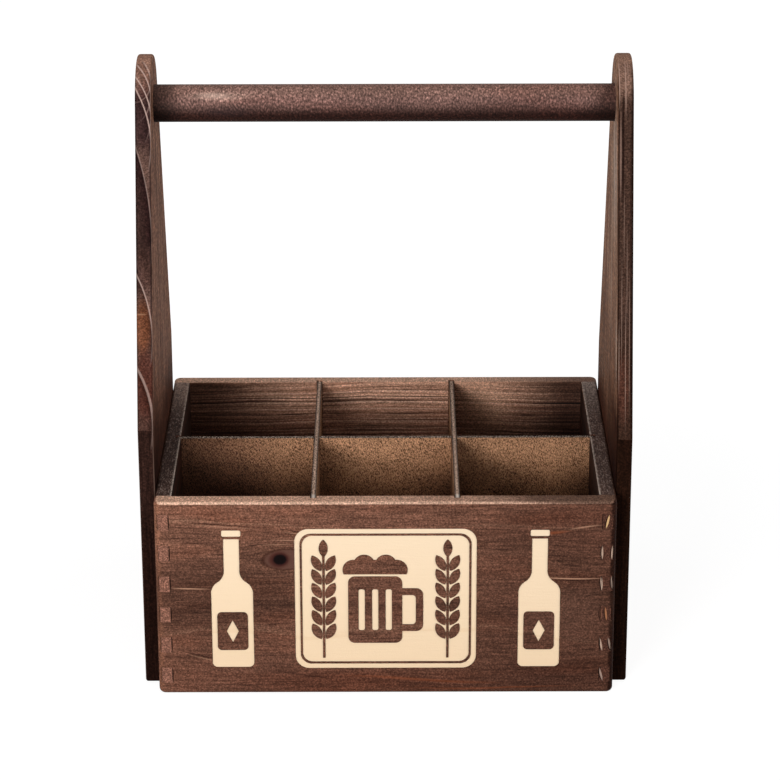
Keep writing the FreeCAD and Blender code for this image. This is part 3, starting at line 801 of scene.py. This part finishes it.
@dataclass
class Carcass:
    """The box: four pine walls with tenoned corners, and a hardboard floor held by brads."""

    cheek_inner: float = 123.5
    cheek_outer: float = 129.5
    tenon_low: float = 7.5
    tenon_height: float = 9.64
    tenon_pitch: float = 19.27
    tenons: int = 6
    # The rim and the arris along the top are lighter partly from sanding wear and partly as a painted sheen.
    rim: str = "#cfa58c"
    rim_share: float = 0.85
    arris: str = "#dcb39a"
    # A painted highlight along the inner arris of each end's rim.
    inner_arris_highlight: str = "#d6c4b6"
    inner_arris_width: float = 1.8
    pale_line: str = "#c4967a"
    dark_line: str = "#26130e"
    red_line: str = "#8d4a2c"
    glue: str = "#1d0f0b"
    glue_shadow: str = "#160b09"

    def tenon_middle(self, number: int) -> float:
        """Height of the middle of a tenon, counted from the floor up."""
        return self.tenon_low + number * self.tenon_pitch + self.tenon_height / 2

    def dark_cheeks(self) -> tuple[Patch, ...]:
        """Dark glue lines at the inner cheeks of the left corner's tenons.

        Returns:
            One patch for each tenon.
        """
        x = -(self.cheek_inner - 0.3)
        length = 0.55 * self.tenon_height
        return tuple(
            Patch(x, self.tenon_middle(number), 0.6, length, self.glue, 0.8, core=0.5, plane=Plane.FRONT)
            for number in range(self.tenons)
        )

    def pale_cheeks(self) -> tuple[Patch, ...]:
        """Pale glue lines at the right corner, where each tenon leans a little and some show both cheeks.

        Returns:
            The shadows of the lines, and then the lines.
        """
        inner, outer = self.cheek_inner, self.cheek_outer
        middle = (inner + outer) / 2
        length = 0.5 * self.tenon_height
        dark = []
        pale = []
        for number, x, lean, shade in (
            (0, inner + 0.9, 14, "#a58c7f"),
            (1, inner + 0.5, 11, "#bfa08d"),
            (1, outer - 0.5, 12, "#9c8476"),
            (2, inner, 2, "#7b5240"),
            (2, middle, 6, "#a56f4e"),
            (3, inner, 3, "#d6b7a2"),
            (3, outer, 4, "#a58d7f"),
            (4, inner, 0, "#d3b39e"),
            (4, outer - 0.2, -3, "#cdae9a"),
            (5, middle - 0.2, -12, "#dcb27f"),
        ):
            z = self.tenon_middle(number)
            dark.append(Patch(x - 0.7, z, 0.9, length, self.glue_shadow, 0.8, lean, 0.4, plane=Plane.FRONT))
            pale.append(Patch(x, z, 0.7, length, shade, 0.95, lean, 0.6, plane=Plane.FRONT))
        return (*dark, *pale)

    def dress(self) -> None:
        """Gives every wall, the floor and the brads their finish."""
        self.dress_front()
        self.dress_back()
        self.dress_ends()
        dress_node("base_panel", Hardboard("hardboard_floor", Cut.FLOOR).make())
        dress_node("base_nails", PlatedSteel("zinc_plated_brads").make())

    def dress_front(self) -> None:
        """Gives the front its stain, which is deeper to the right and partly a painted shade of the light
        falling off there, its knot, lines and bare engraving.
        """
        low, high = box_mm("front_panel")
        # Darker patches, partly a deeper stain and partly a painted shade where the light falls off to the
        # right and low down, and on the rim's right end.
        # Place along and across, half length and half width, shade, and core.
        deeper = (
            (150, 20, 330, 200, "#b4b0b0", 0.1),
            (118, 108, 70, 22, "#e8e4e4", 0.3),
            (-100, 62, 80, 38, "#bfbebf", 0.35),
            (-90, 12, 90, 30, "#dfdcdc", 0.3),
            (95, 12, 60, 20, "#e2dede", 0.3),
            (-10, 6, 100, 16, "#ecdcd6", 0.3),
            (120, high.z, 110, 2.6, "#a09b99", 0.45),
        )
        pale, dark, red = self.pale_line, self.dark_line, self.red_line
        # Place along and across, half length and half width, shade, share, and turn.
        lines = (
            (-93, 107, 31, 0.6, dark, 0.75, -4.1),
            (-93, 105.8, 28, 0.5, pale, 0.35, -4.1),
            (-50, 102.1, 15, 0.6, dark, 0.6, -10.7),
            (-47, 100.4, 15, 0.5, pale, 0.6, -8),
            (-52, 96.5, 17, 0.5, pale, 0.45, -3),
            (-62, 94.2, 14, 0.4, pale, 0.35, 0),
            (-112, 68.6, 14, 0.5, dark, 0.5, -2),
            (-112, 67.8, 15, 0.6, pale, 0.75, -2),
            (-44, 67.5, 11, 0.6, pale, 0.5, 0),
            (-108.5, 25.3, 14, 0.6, dark, 0.65, -11),
            (-104, 23.2, 14, 0.6, pale, 0.3, -11),
            (-45, 12.2, 20, 0.7, dark, 0.5, -10),
            (106, 74.8, 26, 0.55, pale, 0.75, 0.5),
            (106, 73.6, 26, 0.7, dark, 0.5, 0.5),
            (114, 105.6, 13, 0.6, pale, 0.55, 8),
            (112, 103.4, 16, 0.6, dark, 0.4, 4),
            (94, 102.6, 14, 1.2, red, 0.55, 5),
            (20, 10, 60, 1.4, red, 0.35, -2),
            (60, 5, 60, 0.9, red, 0.35, 1),
        )
        front = StainedPine(
            "stained_pine_front",
            Cut.LONG_WALL,
            heart=(0, 70, low.y + 130),
            ring_gap=3.6,
            line_share=0.3,
            drink=0.2,
            dark="#2c1b15",
            light="#a06f5a",
            gloss=0.04,
            knots=(Knot(-60.2, 85.1),),
            tints=(
                # The sanded rim and the worn arris are both partly a painted sheen.
                FaceTint(UP, self.rim, self.rim_share, *RIM),
                FaceTint((0, -1, 1), self.arris, 0.85, 0.86, 0.97),
                FaceTint((-1, -1, 0), "#9c6a52", 0.5, 0.72, 0.95),
                # Painted shade on the right corner's rounding, which turns away from the light.
                FaceTint((1, -1, 0), "#8a807e", 1, 0.72, 0.95, lay=Lay.INTO),
                Patch(105, 52, 36, 26, "#8d6553", 0.6),
            ),
            patches=(
                # Deeper stain and painted shade, laid into the colour.
                *(Patch(*place, 1, core=core, lay=Lay.INTO) for *place, core in deeper),
                *(Patch(*line) for line in lines),
                *self.dark_cheeks(),
                *self.pale_cheeks(),
            ),
            engraving=Engraving(low.y),
        )
        dress_node("front_panel", front.make())

    def dress_back(self) -> None:
        """Gives the back its bold growth lines, a painted shade inside its corners and low down, and a
        painted pool of light in its right cell.
        """
        high = box_mm("back_panel")[1]
        back = StainedPine(
            "stained_pine_back",
            Cut.LONG_WALL,
            heart=(0, -160, high.y),
            ring_gap=2.9,
            line_share=0.8,
            line_rarity=0.0,
            line_part=0.45,
            drink=0.42,
            fibre=0.35,
            fibre_size=(70, 1.1, 1.1),
            speckle=1.9,
            dark="#26150f",
            light="#dba588",
            line="#edc4aa",
            tone=0.48,
            tints=(
                # The sanded rim is partly a painted sheen.
                FaceTint(UP, self.rim, self.rim_share, *RIM),
                FaceTint.deep(UP, "#8d8482", Fade(Axis.X, 126, 50)),
                # Painted pool of light on the inside, in the left part of the right cell.
                Patch(60, 104, 26, 26, "#dcab8c", 0.32, core=0.3, toward=TO_FRONT),
                # Painted shade on the inside, darker towards both ends and towards the bottom.
                FaceTint.deep(TO_FRONT, "#8b807c", Fade(Axis.X, -112, -48)),
                FaceTint.deep(TO_FRONT, "#6a605e", Fade(Axis.X, 114, 66)),
                FaceTint.deep(TO_FRONT, "#cfc6c2", Fade(Axis.Z, 88, 110)),
            ),
        )
        dress_node("back_panel", back.make())

    def dress_ends(self) -> None:
        """Gives the ends dark rims with a painted highlight on the inner arris, and tenons as worn as the
        corners round them.
        """
        for side, name, heart, cheeks, shade, rim, far in (
            (-1, "left", -60, self.dark_cheeks(), "#8b6050", "#3e2d27", "#a98d7f"),
            (1, "right", 190, self.pale_cheeks(), "#4f3228", "#54413a", "#948177"),
        ):
            low, high = box_mm(f"{name}_end_panel")
            inner = low.x if side > 0 else high.x
            arris = Fade(Axis.X, inner, inner + self.inner_arris_width * side)
            end = StainedPine(
                f"stained_pine_{name}_end",
                Cut.END_WALL,
                heart=(0, heart, 0),
                line_rarity=0.2,
                ring_gap=1.8,
                speckle=2.4,
                speckle_size=(2.2, 0.9, 0.75),
                salt="#8f7f76",
                gloss=0.05,
                tone=0.2,
                dark="#22140f",
                light="#7d5847",
                tints=(
                    FaceTint(UP, rim, self.rim_share, *RIM),
                    # Painted highlight along the inner arris.
                    FaceTint(UP, self.inner_arris_highlight, self.rim_share, *RIM, (arris,)),
                    FaceTint(UP, far, 0.75, *RIM, (Fade(Axis.Y, 95, 20),)),
                    FaceTint(TO_FRONT, shade, 0.85, 0.5, 0.8),
                    FaceTint(TO_BACK, shade, 0.85, 0.5, 0.8),
                    FaceTint.deep((-side, 0, 0), "#968a86"),
                ),
                patches=cheeks,
            )
            dress_node(f"{name}_end_panel", end.make())


@dataclass
class DividerGrid:
    """The hardboard grid: one long divider and two cross dividers halved over it."""

    # Painted shade: the dividers are darker low in the cells, at the left and in each cell's lower corners.
    painted_cell_shade: str = "#d8cfc7"
    painted_left_shade: str = "#b3abad"
    painted_corner_shade: str = "#b0aaa8"
    cell_top: float = 119.0
    cell_dark: float = 84.0
    long_edge: str = "#e6cdb8"
    # Painted highlight on the cross dividers' front ends, and painted shade of the gaps beside their top
    # edges.
    end_highlight: str = "#e6d8cc"
    painted_gap_shade: str = "#1d1310"
    outline_width: float = 1.35

    def dress(self) -> None:
        """Gives the dividers their finish."""
        below = Fade(Axis.Z, self.cell_dark, self.cell_top)
        # Painted shade that darkens every divider low in the cells.
        deep = FaceTint.deep(None, self.painted_cell_shade, below)
        self.dress_long(deep, below)
        for side in ("left", "right"):
            self.dress_cross(side, deep)

    def dress_long(self, deep: FaceTint, below: Fade) -> None:
        """Gives the long divider a painted shade at the left and low in each cell's corners.

        Args:
            deep: the painted shade that darkens all dividers low in the cells.
            below: how the painted shade low in the cells fades upwards.
        """
        # Where each corner is, and how far its painted shade reaches from there.
        corners = ((-43, -24), (-39, 20), (39, -24), (43, 20), (121, -24))
        board = Hardboard(
            "hardboard_long",
            Cut.LONG_WALL,
            edge_pale=self.long_edge,
            tints=(
                deep,
                FaceTint.deep(TO_FRONT, self.painted_left_shade, Fade(Axis.X, -105, -40)),
                FaceTint.deep(TO_FRONT, self.painted_left_shade, Fade(Axis.X, -90, -40), below),
                *(
                    FaceTint.deep(
                        TO_FRONT,
                        self.painted_corner_shade,
                        Fade(Axis.X, x, x + reach),
                        Fade(Axis.X, x, x - math.copysign(1, reach)),
                        below,
                    )
                    for x, reach in corners
                ),
            ),
        )
        dress_node("long_divider", board.make())

    def dress_cross(self, side: str, deep: FaceTint) -> None:
        """Gives a cross divider a painted shade of the gaps along both sides of its top edge and a painted
        highlight on its front end.

        Args:
            side: which of the two it is.
            deep: the painted shade that darkens all dividers low in the cells.
        """
        low, high = box_mm(f"{side}_cross_divider")
        rims = ((low.x, self.outline_width), (high.x, -self.outline_width))
        board = Hardboard(
            f"hardboard_{side}_cross",
            Cut.END_WALL,
            edge_dark="#4a342b",
            edge_pale="#f2cdb4",
            edge_bare=(-0.6, 0.6),
            tints=(
                deep,
                # Painted highlight on the front end of the top edge, and painted shade of the gaps along its
                # sides.
                FaceTint(UP, self.end_highlight, 0.85, fades=(Fade(Axis.Y, low.y + 3, low.y + 7),)),
                *(FaceTint(UP, self.painted_gap_shade, 0.95, fades=(Fade(Axis.X, x, x + w),)) for x, w in rims),
            ),
        )
        dress_node(f"{side}_cross_divider", board.make())


@dataclass
class Handle:
    """The two tapered uprights, the round rod between them and the screws that hold all three."""

    left_shoulder: float = 158.0
    right_shoulder: float = 152.0
    # The front edges below the shoulders are darker from a deeper stain and a painted shade.
    left_foot_stain_and_shade: str = "#ccc4bc"
    right_foot_stain_and_shade: str = "#f0e8dc"
    stripe: str = "#ad8d7e"
    upright: StainedPine = StainedPine(
        "stained_pine_upright",
        Cut.UPRIGHT,
        heart=(0, 0, 0),
        ring_lean=0.06,
        line_rarity=0.1,
        line_part=0.4,
        wander=5,
        fibre=0.4,
        fibre_size=(40, 1.1, 1.1),
        speckle_size=(1, 1, 1),
        gloss=0.02,
    )

    def dress(self) -> None:
        """Gives the uprights, the rod and the screws their finish."""
        self.dress_left()
        self.dress_right()
        self.dress_rod()
        steel = PlatedSteel("zinc_plated_screws").make()
        for side in ("left", "right"):
            dress_node(f"{side}_upright_screws", steel)
            dress_node(f"{side}_handle_screw", steel)

    def foot_stain_and_shade(self, shade: str, shoulder: float) -> FaceTint:
        """Deeper stain and painted shade on the front edge of an upright below its shoulder, which ends in a
        crisp line.
        """
        return FaceTint.deep(TO_FRONT, shade, Fade(Axis.Z, shoulder - 0.5, shoulder + 0.5))

    def dress_left(self) -> None:
        """Gives the left upright its slanting growth lines, which run out at the edge."""
        low, high = box_mm("left_upright")
        inside = (1, 0, 0)
        # Height at the start, rise, half width, share, and the depth and shade of the stain under the line.
        lines = (
            (345, 10, 0.5, 0.5, 5, "#c9c0bf"),
            (338, 15, 0.5, 0.6, 5, "#c9c0bf"),
            (327, 21, 0.5, 0.65, 5, "#c9c0bf"),
            (312, 31, 0.55, 0.65, 10, "#b0a5a9"),
            (260, 52, 0.5, 0.25, 26, "#66525c"),
            (207, 36, 0.55, 0.5, 8, "#b0a4a0"),
            (160, 32, 1, 0.38, 5, "#9a8a82"),
        )
        left = replace(
            self.upright,
            name="stained_pine_left_upright",
            heart=(300, 12, -60),
            ring_gap=8,
            line_share=0.4,
            drink=0.25,
            cross_sanded=inside,
            dark="#54392d",
            light="#ba886f",
            line="#bd937e",
            red="#6b3d2e",
            tints=(
                FaceTint(TO_FRONT, "#868ea0", 1, 0.25, 0.5, lay=Lay.INTO),
                # Painted light on the crown and the upper slanting edge, which face upwards.
                FaceTint((0, -0.5, 1), "#9f7867", 0.75),
                self.foot_stain_and_shade(self.left_foot_stain_and_shade, self.left_shoulder),
                FaceTint.deep(TO_FRONT, "#cfc0bd", Fade(Axis.Z, 166, 210)),
                FaceTint.deep(TO_FRONT, "#bcb0a8", Fade(Axis.Z, 60, 125)),
                # Painted shade low on the inner face, with a slanting edge like the shadow of the box.
                FaceTint.deep(inside, "#857672", Fade(Axis.Z, 132, 166)),
                FaceTint.deep(inside, "#928480", Fade(Axis.Z, 152, 196), Fade(Axis.Y, -70, 20)),
                Patch(-136.5, 328, 22, 9, "#bcb4c0", 1, 90, 0.5, Lay.INTO, Plane.FRONT),
                Patch(-136, 246, 18, 9, "#cbc0c0", 1, 90, 0.4, Lay.INTO, Plane.FRONT),
                Patch(-137, 214, 20, 6.5, "#7a482e", 0.75, 90, 0.4, plane=Plane.FRONT),
                Patch(-135.5, 184, 24, 8.5, "#4c271e", 0.75, 90, 0.5, plane=Plane.FRONT),
            ),
            patches=(
                Patch(-137.3, 221.2, 3.4, 0.6, "#a67a5e", 0.8, core=0.5, plane=Plane.FRONT),
                *(GrowthLine(high.x, low.x, *line) for line in lines),
                Patch(high.x - 0.4, 85, 110, 0.4, "#7d6458", 0.65, 90, 0.6, plane=Plane.FRONT),
            ),
        )
        dress_node("left_upright", left.make())

    def dress_right(self) -> None:
        """Gives the right upright its upright growth lines, which show as stripes on its edge."""
        inside = (-1, 0, 0)
        # Place along and across, half length and half width, shade, share, and turn.
        streaks = (
            (292, -27, 52, 3.6, "#e2cbbb", 0.6, 20),
            (286, -19, 60, 3.2, "#ead6c8", 0.7, 18),
            (290, -11, 56, 3.6, "#e2cbbb", 0.6, 15),
            (284, -3, 60, 2.8, "#d9bfad", 0.5, 12),
            (262, -46, 60, 6, "#5e4336", 0.6, 21),
            (232, -10, 60, 4, "#d2b5a2", 0.55, 14),
            (225, 34, 60, 7, "#75463a", 0.6, 0),
            (250, 14, 50, 6, "#62443a", 0.6, 6),
            (230, 62, 60, 8, "#7d5446", 0.5, -10),
            (198, -60, 26, 4, "#e2cbbb", 0.7, 21),
        )
        # Place across and up the edge, half length and half width, and share.
        stripes = (
            (132.4, 345, 18, 0.4, 0.8),
            (135.9, 343, 20, 0.4, 0.8),
            (137.4, 351, 9, 0.3, 0.5),
            (133.1, 306, 30, 0.8, 0.35),
            (135.2, 268, 26, 0.3, 0.3),
            (136.9, 240, 34, 0.3, 0.35),
            (132.5, 196, 26, 0.35, 0.5),
            (134, 220, 40, 0.3, 0.4),
            (136.2, 192, 44, 0.35, 0.5),
            (138.4, 205, 48, 0.3, 0.45),
        )
        right = replace(
            self.upright,
            name="stained_pine_right_upright",
            heart=(120, 10, 60),
            ring_gap=7.5,
            drink=0.3,
            cross_sanded=inside,
            dark="#5e4637",
            light="#b88c73",
            line="#cfa78f",
            tints=(
                FaceTint(TO_FRONT, "#4f4646", 1, 0.25, 0.5, lay=Lay.INTO),
                # Painted light on the crown and the upper slanting edge, which face upwards.
                FaceTint((0, -0.5, 1), "#8d6c5d", 0.7),
                self.foot_stain_and_shade(self.right_foot_stain_and_shade, self.right_shoulder),
                FaceTint.deep(TO_FRONT, "#d0c8c0", Fade(Axis.Z, 190, 224)),
                # Painted shade low on the inner face, with a slanting edge like the shadow of the box.
                FaceTint.deep(inside, "#d2c8c0", Fade(Axis.Z, 178, 228)),
                FaceTint.deep(inside, "#8a736e", Fade(Axis.Z, 124, 156)),
                FaceTint.deep(inside, "#76605b", Fade(Axis.Z, 156, 178), Fade(Axis.Y, -70, 30)),
                Patch(139.5, 255, 120, 1.6, "#c8c0c0", 1, 90, 0.5, Lay.INTO, Plane.FRONT),
                Patch(134.4, 310, 40, 0.9, "#9a8f90", 1, 90, 0.5, Lay.INTO, Plane.FRONT),
                Patch(135, 180, 26, 5, "#5a362b", 0.5, 90, 0.3, plane=Plane.FRONT),
            ),
            patches=(
                *(Patch(*streak, 0.35, toward=inside) for streak in streaks),
                *(
                    Patch(*place, self.stripe, share, 90, 0.35, plane=Plane.FRONT)
                    for *place, share in stripes
                ),
            ),
        )
        dress_node("right_upright", right.make())

    def dress_rod(self) -> None:
        """Gives the rod a coarse speckle, a painted shade at its ends and on its underside, a painted light
        on its top, and a worn spot near the left end that is partly a painted highlight.
        """
        low, high = box_mm("handle_dowel")
        middle = (low.z + high.z) / 2
        rod = StainedPine(
            "stained_pine_rod",
            Cut.LONG_WALL,
            heart=(0, 0, 300),
            line_share=0.0,
            drink=0.0,
            fibre=0.05,
            blotch=0.2,
            speckle=2.8,
            speckle_size=(1, 1.5, 1.5),
            dark="#382420",
            light="#8f6c63",
            red="#7d4a40",
            tints=(
                # Painted shade on the underside, and painted light on the top.
                FaceTint(DOWN, "#6b5a56", 1, -0.45, 0.45, lay=Lay.INTO),
                FaceTint(UP, "#a98472", 0.16, 0.3, 0.9),
                # Worn spot, partly a painted highlight.
                Patch(-94, middle + 6, 26, 3.4, "#cfae9d", 0.3, core=0.1),
            ),
            patches=(
                # Painted shade where the ends meet the uprights.
                Patch(low.x, middle, 24, 30, "#9a9592", 1, core=0.5, lay=Lay.INTO),
                Patch(high.x, middle, 22, 30, "#aca29f", 1, core=0.4, lay=Lay.INTO),
                # The worn spot's paler middle, partly a painted highlight.
                Patch(-97, middle + 6.2, 13, 2, "#d8b8a8", 0.35, core=0.1),
                Patch(-90, middle - 3, 24, 5, "#2c2022", 0.45, core=0.1),
            ),
        )
        dress_node("handle_dowel", rod.make())


@dataclass
class Studio:
    """Pale sweep, soft lights and the camera."""

    floor_half: float = 4000.0
    floor_shade: str = "#a8a5a1"
    floor_lift: float = 0.9
    floor_keep: float = 0.22
    floor_near: float = 240.0
    floor_far: float = 700.0
    ambient: float = 0.11
    white: str = "#ffffff"
    target: Triple = (0.0, 0.0, 150.0)
    top_target: Triple = (0.0, 0.0, 100.0)
    lens: float = 144.07
    camera: Triple = (2.54, -1719.55, 827.5)
    pitch: float = 21.488
    roll: float = -0.131
    yaw: float = 0.009

    def build(self) -> None:
        """Sets the view, and makes the floor, the lights and the camera."""
        bpy.context.scene.view_settings.view_transform = "Standard"
        self.make_world()
        self.make_floor()
        self.make_lights()
        self.make_camera()

    def seen(self, bench: Bench) -> Socket:
        """Mask of the rays that show the background: camera, glossy and transmission rays.

        Args:
            bench: the bench of the floor or the world.

        Returns:
            0 or 1.
        """
        path = bench.put("LightPath", {}).node.outputs
        seen = bench.put("Math.MAXIMUM", {0: path["Is Camera Ray"], 1: path["Is Glossy Ray"]})
        return bench.put("Math.MAXIMUM", {0: seen, 1: path["Is Transmission Ray"]})

    def make_world(self) -> None:
        """White where it is seen, and an even soft ambient light elsewhere."""
        world = bpy.data.worlds.new("white_studio")
        bpy.context.scene.world = world
        bench = Bench(world)
        strength = bench.put("MapRange", {0: self.seen(bench), 3: self.ambient})
        light = bench.put("Background", {"Color": linear(self.white), "Strength": strength})
        bench.put("OutputWorld", {"Surface": light})

    def make_floor(self) -> None:
        """Pale floor that reads as white where it is seen and keeps a soft shadow."""
        mesh = bpy.data.meshes.new("floor")
        shape = bmesh.new()
        bmesh.ops.create_grid(shape, x_segments=1, y_segments=1, size=self.floor_half * MM)
        shape.to_mesh(mesh)
        shape.free()
        floor = bpy.data.objects.new("floor", mesh)
        bpy.context.scene.collection.objects.link(floor)
        bench = Bench(bpy.data.materials.new("paper_sweep"))
        paper = bench.put("BsdfDiffuse", {"Color": linear(self.floor_shade)})
        place = bench.put("TexCoord", {}, out="Object")
        away = bench.put("VectorMath.LENGTH", {0: place}, out="Value")
        limits = {1: self.floor_near * MM, 2: self.floor_far * MM, 3: self.floor_lift, 4: 1.0}
        lift = bench.put("MapRange", {0: away, **limits}, **SMOOTH)
        glow = bench.put("Emission", {"Color": linear(self.white), "Strength": lift})
        keep = bench.put("BsdfDiffuse", {"Color": (self.floor_keep, self.floor_keep, self.floor_keep, 1.0)})
        lifted = bench.put("AddShader", {0: keep, 1: glow})
        surface = bench.put("MixShader", {0: self.seen(bench), 1: paper, 2: lifted})
        bench.put("OutputMaterial", {"Surface": surface})
        mesh.materials.append(bench.owner)

    def make_lights(self) -> None:
        """Makes the soft boxes: the place of each, what it points at, its width and height, and its watts."""
        for name, place, target, size, power in (
            ("key", (-560, -1320, 500), self.target, (650, 400), 15.5),
            ("fill", (1000, -900, 600), self.target, (700, 700), 5),
            ("top", (0, -250, 1700), self.top_target, (1100, 900), 7),
        ):
            lamp = bpy.data.lights.new(name, "AREA")
            lamp.shape = "RECTANGLE"
            lamp.size, lamp.size_y = (side * MM for side in size)
            lamp.energy = power
            light = bpy.data.objects.new(name, lamp)
            bpy.context.scene.collection.objects.link(light)
            light.location = Vector(place) * MM
            light.rotation_euler = (Vector(target) - Vector(place)).to_track_quat("-Z", "Y").to_euler()

    def make_camera(self) -> None:
        """Makes the camera at the photograph's place and angle."""
        lens = bpy.data.cameras.new("camera")
        lens.lens = self.lens
        camera = bpy.data.objects.new("camera", lens)
        bpy.context.scene.collection.objects.link(camera)
        pitch, roll, yaw = (math.radians(a) for a in (self.pitch, self.roll, self.yaw))
        ahead = Vector((math.sin(yaw) * math.cos(pitch), math.cos(yaw) * math.cos(pitch), -math.sin(pitch)))
        right = ahead.cross(Vector(UP)).normalized()
        up = right.cross(ahead)
        right, up = (
            right * math.cos(roll) + up * math.sin(roll),
            up * math.cos(roll) - right * math.sin(roll),
        )
        turned = Matrix((right, up, -ahead)).transposed().to_4x4()
        camera.matrix_world = Matrix.Translation(Vector(self.camera) * MM) @ turned
        bpy.context.scene.camera = camera


def main() -> None:
    """Dresses the sub-assemblies in order, then makes the studio round them."""
    logging.basicConfig(level=logging.INFO, format="%(message)s")
    for assembly in (Carcass(), DividerGrid(), Handle()):
        assembly.dress()
    Studio().build()


if __name__ == "__main__":
    main()
